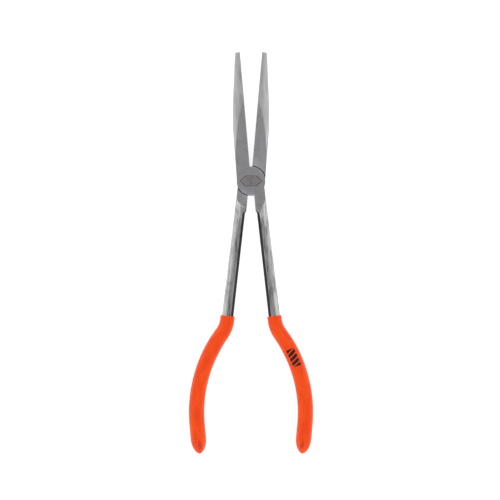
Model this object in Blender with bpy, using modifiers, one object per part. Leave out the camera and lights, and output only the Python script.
"""Long-reach needle nose pliers, as the five pieces that a real pair is made of.

Two levers cross at a lap joint. They are the same forging used twice, one of them turned over. A flush
rivet holds them, and each handle is covered by a dipped grip with one closed end.

The pliers lie flat: +Y runs towards the nose and +Z is up. The origin is on the pivot's axis, at the
flat rear face of the joint, which the tool rests on. Every size is in metres.

A lever is made in its own frame, as it stands in closed pliers. There the pivot is at the origin, the
two levers lap at z = 0, the jaw is on the -X side with its gripping face on x = 0, and the handle is on
the +X side.
"""

import math

import bmesh
import bpy
from mathutils import Vector

MM = 0.001

# Joint
JOINT_THICKNESS = 10.0 * MM
HUB_RADIUS = 10.0 * MM
HUB_FLAT_DEPTH = 0.25 * MM  # ground off each side of the round hub
SHOULDER_GAP = 0.6 * MM  # between a hub's rim and the other lever's shoulder
LAP_GAP = 0.2 * MM  # between the two lapped faces
REST_OPENING = math.radians(9.74)  # between the two gripping faces

# Rivet
RIVET_RADIUS = 3.2 * MM
RIVET_HEAD_LIP = 1.3 * MM  # how far the head stands out round the shaft
RIVET_HEAD_DEPTH = 1.3 * MM
RIVET_CLEARANCE = 0.06 * MM
RIVET_STEPS = 48

# Jaw
NOSE_REACH = 90.0 * MM  # pivot to tip
TAPER_START = 35.0 * MM  # pivot to where the nose begins to narrow
TIP_WIDTH = 3.45 * MM  # of one jaw
TIP_THICKNESS = 3.4 * MM
FLAT_END = 54.5 * MM  # pivot to the point where the ground flat of the nose runs out
GRIPPING_GAP = 0.05 * MM  # from a gripping face to the plane where the jaws meet

# Shank and handle
NECK_INNER_GAP = 1.4 * MM  # from the centre plane to the inner side of the neck
NECK_LENGTH = 20.5 * MM  # pivot to the step on the inner side
NECK_STEP_LENGTH = 2.0 * MM
NECK_RISE = 1.2 * MM  # how far the neck's middle lies towards the hub's side
NECK_LEAN = 0.12  # share by which the forging is thicker inside than at its middle, and thinner outside
SWELL_LENGTH = 30.0 * MM  # pivot to where the neck has thinned to the shank
SHANK_INNER_GAP = 1.7 * MM  # the same gap for the shank's inner side, drawn back to the pivot
SHANK_WIDTH = 7.0 * MM  # at its thin end, drawn back to the pivot
SHANK_SPLAY = math.radians(1.8)
SHANK_LENGTH = 97.5 * MM  # pivot to the bend
HANDLE_WIDTH = 7.9 * MM  # from the bend on
HANDLE_THICKNESS = 6.8 * MM
BEND_RADIUS = 20.2 * MM
BEND_ANGLE = math.radians(29.1)
SWEEP_RADIUS = 93.6 * MM  # of the long curve that fits the palm
SWEEP_ANGLE = math.radians(41.0)
TAIL_LENGTH = 16.0 * MM  # of the core past the curve
INNER_FACE_WIDTH = 1.6 * MM  # the sloping faces beside the parting ridge, seen from above
RIDGE_WIDTH = 0.6 * MM

# Grip
CUFF_LEAD = 3.0 * MM  # from the cuff to the bend
GRIP_SIDE_WALL = 1.6 * MM
GRIP_FACE_WALL = 1.5 * MM
GRIP_END_WALL = 4.4 * MM
GRIP_FIT_GAP = 0.2 * MM  # between the core and the pocket
GRIP_NOSE_LENGTH = 10.5 * MM  # of the pointed end
CUFF_SCALE = 0.92
CUFF_EASE_LENGTH = 30.0 * MM

# Facets
RING_POINTS = 20
GRIP_POINTS = 18
STRAIGHT_SPACING = 16.0 * MM
CURVED_SPACING = 4.5 * MM
HUB_SEGMENTS = 64

# Worked out from the sizes above
JOINT_HALF_WIDTH = HUB_RADIUS - HUB_FLAT_DEPTH
SHOULDER_RADIUS = HUB_RADIUS + SHOULDER_GAP
HANDLE_OFFSET = SHANK_INNER_GAP + SHANK_WIDTH / 2  # centre plane to the handle's line at the pivot
CORE_LENGTH = SHANK_LENGTH + BEND_RADIUS * BEND_ANGLE + SWEEP_RADIUS * SWEEP_ANGLE + TAIL_LENGTH
GRIP_START = SHANK_LENGTH - CUFF_LEAD
GRIP_END = CORE_LENGTH + GRIP_END_WALL
NECK_DEPTH = 2.6 * JOINT_THICKNESS  # of the forging at the pivot, before its faces are ground
DEEP = 3 * JOINT_THICKNESS  # safely past the joint's faces


def eased(position, start, end):
    """A smooth step: 0 up to start, 1 from end on."""
    share = min(max((position - start) / (end - start), 0), 1)
    return share * share * (3 - 2 * share)


def handle_place(distance):
    """The point of the handle's centre line at a distance along it, and its heading from -Y to +X."""
    runs = (
        (SHANK_LENGTH, 0),
        (BEND_RADIUS * BEND_ANGLE, 1 / BEND_RADIUS),
        (SWEEP_RADIUS * SWEEP_ANGLE, -1 / SWEEP_RADIUS),
        (math.inf, 0),
    )
    x, y, heading = HANDLE_OFFSET, 0, SHANK_SPLAY
    for length, curvature in runs:
        step = min(distance, length)
        turned = heading + step * curvature
        if curvature:
            x += (math.cos(heading) - math.cos(turned)) / curvature
            y -= (math.sin(turned) - math.sin(heading)) / curvature
        else:
            x += step * math.sin(heading)
            y -= step * math.cos(heading)
        heading = turned
        distance -= step
        if distance <= 0:
            break
    return Vector((x, y, 0)), heading


def handle_distances(start, end):
    """Distances along the handle, sparse on the straight shank and closer together past the bend."""
    bend = min(max(SHANK_LENGTH, start), end)
    distances = []
    for first, last, spacing in ((start, bend, STRAIGHT_SPACING), (bend, end, CURVED_SPACING)):
        steps = max(round((last - first) / spacing), 1)
        if last > first:
            distances += [first + (last - first) * k / steps for k in range(steps)]
    return distances + [end]


def superellipse(half_width, half_depth, power, count):
    """Points (across, up) round a superellipse: power 2 makes an ellipse, and more makes it squarer."""
    points = []
    for k in range(count):
        angle = 2 * math.pi * (k + 0.5) / count
        across, up = math.cos(angle), math.sin(angle)
        points.append(
            (
                half_width * math.copysign(abs(across) ** (2 / power), across),
                half_depth * math.copysign(abs(up) ** (2 / power), up),
            )
        )
    return points


def handle_width(distance):
    """The width of the bare handle, which grows evenly along the shank."""
    return SHANK_WIDTH + (HANDLE_WIDTH - SHANK_WIDTH) * min(distance / SHANK_LENGTH, 1)


def forged_section(half_width, half_depth, power, lean=0.0):
    """A superellipse whose inner side, at -across, is two sloping faces that meet on the parting ridge."""
    slope_start = INNER_FACE_WIDTH - half_width
    top = half_depth * (1 - abs(slope_start / half_width) ** power) ** (1 / power)
    points = []
    for across, up in superellipse(half_width, half_depth, power, RING_POINTS):
        if across < slope_start:
            share = (across + half_width) / INNER_FACE_WIDTH
            limit = RIDGE_WIDTH / 2 + (top - RIDGE_WIDTH / 2) * share
            up = math.copysign(min(abs(up), limit), up)
        points.append((across, up * (1 - lean * across / half_width)))
    return points


def ring_on_handle(distance, section, shift=0.0, rise=0.0):
    """A section's points in place across the handle, moved outwards by shift and upwards by rise."""
    place, heading = handle_place(distance)
    outwards = Vector((math.cos(heading), math.sin(heading), 0))
    return [place + outwards * (shift + across) + Vector((0, 0, rise + up)) for across, up in section]


def mesh_object(name, mesh, collection):
    """Links a new object for a mesh."""
    obj = bpy.data.objects.new(name, mesh)
    collection.objects.link(obj)
    return obj


def as_helper(obj):
    """Keeps an object out of the model: it only shapes others."""
    obj.hide_render = True
    obj.display_type = "WIRE"
    return obj


def loft(name, rings, collection):
    """A closed solid through rings of points, each ring a list of vectors in the same order."""
    bm = bmesh.new()
    loops = [[bm.verts.new(point) for point in ring] for ring in rings]
    for near, far in zip(loops, loops[1:]):
        for k in range(len(near)):
            bm.faces.new((near[k - 1], near[k], far[k], far[k - 1]))
    bm.faces.new(loops[0])
    bm.faces.new(loops[-1])
    bmesh.ops.recalc_face_normals(bm, faces=bm.faces)
    mesh = bpy.data.meshes.new(name)
    bm.to_mesh(mesh)
    bm.free()
    return mesh_object(name, mesh, collection)


def box(name, low, high, collection):
    """A box between two corners."""
    bm = bmesh.new()
    bmesh.ops.create_cube(bm, size=1)
    size = Vector(high) - Vector(low)
    bmesh.ops.scale(bm, vec=size, verts=bm.verts)
    bmesh.ops.translate(bm, vec=Vector(low) + size / 2, verts=bm.verts)
    mesh = bpy.data.meshes.new(name)
    bm.to_mesh(mesh)
    bm.free()
    return mesh_object(name, mesh, collection)


def cylinder(name, radius, low, high, collection):
    """An upright cylinder on the pivot's axis."""
    bm = bmesh.new()
    bmesh.ops.create_cone(
        bm, cap_ends=True, segments=HUB_SEGMENTS, radius1=radius, radius2=radius, depth=high - low
    )
    bmesh.ops.translate(bm, vec=(0, 0, (low + high) / 2), verts=bm.verts)
    mesh = bpy.data.meshes.new(name)
    bm.to_mesh(mesh)
    bm.free()
    return mesh_object(name, mesh, collection)


def turned(name, profile, collection):
    """A turned solid about Z, from a profile of (radius, height) points that runs down its outer side."""
    mesh = bpy.data.meshes.new(name)
    edges = [(k, k + 1) for k in range(len(profile) - 1)]
    mesh.from_pydata([(radius, 0, height) for radius, height in profile], edges, [])
    obj = as_helper(mesh_object(name, mesh, collection))
    screw = obj.modifiers.new("turn", "SCREW")
    screw.steps = screw.render_steps = RIVET_STEPS
    screw.use_merge_vertices = True
    screw.merge_threshold = 0.00001
    return obj


def combine(obj, operation, other):
    """Adds a Boolean modifier."""
    modifier = obj.modifiers.new(operation.lower(), "BOOLEAN")
    modifier.operation = operation
    modifier.object = other


def finished_mesh(obj, name, material):
    """The object's mesh with its modifiers applied, shaded smooth apart from its sharp edges."""
    graph = bpy.context.evaluated_depsgraph_get()
    mesh = bpy.data.meshes.new_from_object(obj.evaluated_get(graph))
    mesh.name = name
    mesh.materials.clear()
    mesh.materials.append(material)
    mesh.shade_smooth()
    mesh.set_sharp_from_angle(angle=math.radians(30))
    return mesh


def finish(name, colour, roughness, metallic):
    """A material with one Principled BSDF."""
    material = bpy.data.materials.new(name)
    material.use_nodes = True
    shader = material.node_tree.nodes["Principled BSDF"]
    shader.inputs["Base Color"].default_value = (*colour, 1)
    shader.inputs["Roughness"].default_value = roughness
    shader.inputs["Metallic"].default_value = metallic
    return material


def nose_rings():
    """Sections of the closed nose, which both jaws are halves of, from the pivot to the tip.

    The depth passes the joint's thickness at FLAT_END, so the joint's flat face runs out there in a point.
    """
    half_joint = JOINT_THICKNESS / 2
    stations = (
        (0, JOINT_HALF_WIDTH, 2.6 * half_joint, 6),
        (0.6 * TAPER_START, JOINT_HALF_WIDTH, 2.4 * half_joint, 5),
        (0.8 * TAPER_START, JOINT_HALF_WIDTH, 1.85 * half_joint, 3.2),
        (TAPER_START, JOINT_HALF_WIDTH, 1.5 * half_joint, 2.3),
        ((TAPER_START + FLAT_END) / 2, None, 1.24 * half_joint, 2),
        (FLAT_END, None, half_joint, 2),
        (NOSE_REACH, TIP_WIDTH, TIP_THICKNESS / 2, 2.6),
    )
    rings = []
    for reach, half_width, half_depth, power in stations:
        if half_width is None:
            share = (reach - TAPER_START) / (NOSE_REACH - TAPER_START)
            half_width = JOINT_HALF_WIDTH + share * (TIP_WIDTH - JOINT_HALF_WIDTH)
        section = superellipse(half_width, half_depth, power, 2 * RING_POINTS)
        rings.append([Vector((across, reach, up)) for across, up in section])
    return rings


def handle_rings():
    """Sections of the neck, shank and core, from the pivot to the end of the core.

    The neck is deeper than the joint, so that grinding the joint's faces leaves a flat on it that runs out
    where it thins. The flat reaches further on the hub's side, and further along the inner edge.
    """
    neck_end = NECK_LENGTH + NECK_STEP_LENGTH
    stations = [NECK_LENGTH * share for share in (0, 0.35, 0.6, 0.8, 1)]
    stations += [neck_end, (neck_end + SWELL_LENGTH) / 2]
    stations += handle_distances(SWELL_LENGTH, CORE_LENGTH)
    rings = []
    for distance in stations:
        neck = 1 - eased(distance, 0, SWELL_LENGTH)
        width = handle_width(distance)
        inner_gap = HANDLE_OFFSET + distance * math.sin(SHANK_SPLAY) - width / 2
        if distance <= NECK_LENGTH:
            width += inner_gap - NECK_INNER_GAP
        depth = HANDLE_THICKNESS + (NECK_DEPTH - HANDLE_THICKNESS) * neck
        section = forged_section(width / 2, depth / 2, 2 + 4 * neck, NECK_LEAN)
        shift = (handle_width(distance) - width) / 2
        rings.append(ring_on_handle(distance, section, shift, NECK_RISE * math.sin(math.pi * neck)))
    return rings


def rivet_profile(growth, overrun):
    """Profile of the rivet: a shaft between two countersunk heads that end flush with the joint.

    Growth adds to every radius, and overrun carries the cones on past the joint's faces, for the hole.
    """
    end = JOINT_THICKNESS / 2 + overrun
    shaft = RIVET_RADIUS + growth
    head = shaft + RIVET_HEAD_LIP * (1 + overrun / RIVET_HEAD_DEPTH)
    neck = JOINT_THICKNESS / 2 - RIVET_HEAD_DEPTH
    return [(0, end), (head, end), (shaft, neck), (shaft, -neck), (head, -end), (0, -end)]


def lever_mesh(material, helpers):
    """The forging: a jaw, a hub of half the joint's thickness, and a handle with its core."""
    half_joint = JOINT_THICKNESS / 2
    hub = as_helper(cylinder("hub_blank", HUB_RADIUS, -DEEP / 2, DEEP / 2, helpers))
    sides = box(
        "hub_sides", (-JOINT_HALF_WIDTH, -DEEP, -DEEP), (JOINT_HALF_WIDTH, DEEP, DEEP), helpers
    )
    combine(hub, "INTERSECT", as_helper(sides))

    nose = as_helper(loft("nose_blank", nose_rings(), helpers))
    jaw_side = box(
        "jaw_side", (-DEEP, -DEEP, -DEEP), (-GRIPPING_GAP, NOSE_REACH + DEEP, DEEP), helpers
    )
    combine(nose, "INTERSECT", as_helper(jaw_side))

    lever = as_helper(loft("lever_blank", handle_rings(), helpers))
    combine(lever, "UNION", hub)
    combine(lever, "UNION", nose)
    slab = box(
        "ground_faces",
        (-NOSE_REACH, -2 * CORE_LENGTH, -half_joint),
        (NOSE_REACH, 2 * NOSE_REACH, half_joint),
        helpers,
    )
    combine(lever, "INTERSECT", as_helper(slab))
    lap = cylinder("lap_recess", SHOULDER_RADIUS, -DEEP, LAP_GAP / 2, helpers)
    combine(lever, "DIFFERENCE", as_helper(lap))
    hole = turned("rivet_hole", rivet_profile(RIVET_CLEARANCE, 0.5 * MM), helpers)
    combine(lever, "DIFFERENCE", as_helper(hole))
    return finished_mesh(lever, "lever", material)


def swept_grip(name, section, places, scales, helpers):
    """A curve swept with a section of (across, up) points, made a closed mesh."""
    bevel = bpy.data.curves.new(name + "_section", "CURVE")
    bevel.dimensions = "2D"
    ring = bevel.splines.new("POLY")
    ring.points.add(len(section) - 1)
    ring.use_cyclic_u = True
    for point, (across, up) in zip(ring.points, section):
        point.co = (across, up, 0, 1)
    section_object = bpy.data.objects.new(name + "_section", bevel)
    helpers.objects.link(as_helper(section_object))

    curve = bpy.data.curves.new(name + "_path", "CURVE")
    curve.dimensions = "3D"
    curve.twist_mode = "Z_UP"
    curve.bevel_mode = "OBJECT"
    curve.bevel_object = section_object
    curve.use_fill_caps = True
    spline = curve.splines.new("POLY")
    spline.points.add(len(places) - 1)
    for point, place, scale in zip(spline.points, places, scales):
        point.co = (*place, 1)
        point.radius = scale
    path = bpy.data.objects.new(name + "_path", curve)
    helpers.objects.link(path)

    graph = bpy.context.evaluated_depsgraph_get()
    mesh = bpy.data.meshes.new_from_object(path.evaluated_get(graph))
    bpy.data.objects.remove(path)
    bm = bmesh.new()
    bm.from_mesh(mesh)
    bmesh.ops.remove_doubles(bm, verts=bm.verts, dist=0.000001)
    bmesh.ops.recalc_face_normals(bm, faces=bm.faces)
    bm.to_mesh(mesh)
    bm.free()
    return as_helper(mesh_object(name, mesh, helpers))


def grip_scale(distance):
    """The size of the grip's section along it: drawn in at the cuff, and pointed at the closed end."""
    ease = eased(distance, GRIP_START, GRIP_START + CUFF_EASE_LENGTH)
    scale = CUFF_SCALE + (1 - CUFF_SCALE) * ease
    into_nose = (distance - GRIP_END + GRIP_NOSE_LENGTH) / GRIP_NOSE_LENGTH
    if into_nose > 0:
        scale *= max(1 - into_nose**2, 0.01) ** 0.62
    return scale


def grip_mesh(material, helpers):
    """A sleeve over the core, open at the cuff."""
    outer_section = superellipse(
        HANDLE_WIDTH / 2 + GRIP_SIDE_WALL, HANDLE_THICKNESS / 2 + GRIP_FACE_WALL, 2, GRIP_POINTS
    )
    nose_start = GRIP_END - GRIP_NOSE_LENGTH
    distances = handle_distances(GRIP_START, nose_start)
    distances += [nose_start + GRIP_NOSE_LENGTH * share for share in (0.35, 0.6, 0.8, 0.93, 1)]
    places = [handle_place(distance)[0] for distance in distances]
    scales = [grip_scale(distance) for distance in distances]
    grip = swept_grip("grip_blank", outer_section, places, scales, helpers)

    pocket = []
    for distance in handle_distances(GRIP_START - STRAIGHT_SPACING, CORE_LENGTH + GRIP_FIT_GAP):
        section = forged_section(
            handle_width(distance) / 2 + GRIP_FIT_GAP, HANDLE_THICKNESS / 2 + GRIP_FIT_GAP, 2, NECK_LEAN
        )
        pocket.append(ring_on_handle(distance, section))
    combine(grip, "DIFFERENCE", as_helper(loft("grip_pocket", pocket, helpers)))
    return finished_mesh(grip, "grip", material)


def side_empty(name, flipped, collection):
    """The pivot of one lever, turned from the closed pose to the pose at rest."""
    empty = bpy.data.objects.new(name, None)
    empty.location = (0, 0, JOINT_THICKNESS / 2)
    turn = -REST_OPENING / 2 if flipped else REST_OPENING / 2
    empty.rotation_euler = (0, math.pi if flipped else 0, turn)
    collection.objects.link(empty)
    return empty


def main():
    """Builds the pliers."""
    for obj in list(bpy.data.objects):
        bpy.data.objects.remove(obj)
    pliers = bpy.data.collections.new("needle_nose_pliers")
    helpers = bpy.data.collections.new("cutters")
    for collection in (pliers, helpers):
        bpy.context.scene.collection.children.link(collection)

    lever = lever_mesh(finish("ground_steel", (0.27, 0.27, 0.28), 0.35, 1.0), helpers)
    grip = grip_mesh(finish("orange_vinyl", (0.87, 0.075, 0.013), 0.42, 0.0), helpers)
    for side, flipped in (("front", False), ("rear", True)):
        pivot = side_empty(side + "_pivot", flipped, pliers)
        for piece, mesh in (("lever", lever), ("grip", grip)):
            mesh_object(f"{side}_{piece}", mesh, pliers).parent = pivot

    rivet_blank = turned("rivet_blank", rivet_profile(0, 0), helpers)
    rivet_mesh = finished_mesh(rivet_blank, "rivet", finish("rivet_steel", (0.3, 0.3, 0.31), 0.3, 1.0))
    mesh_object("pivot_rivet", rivet_mesh, pliers).location = (0, 0, JOINT_THICKNESS / 2)


main()
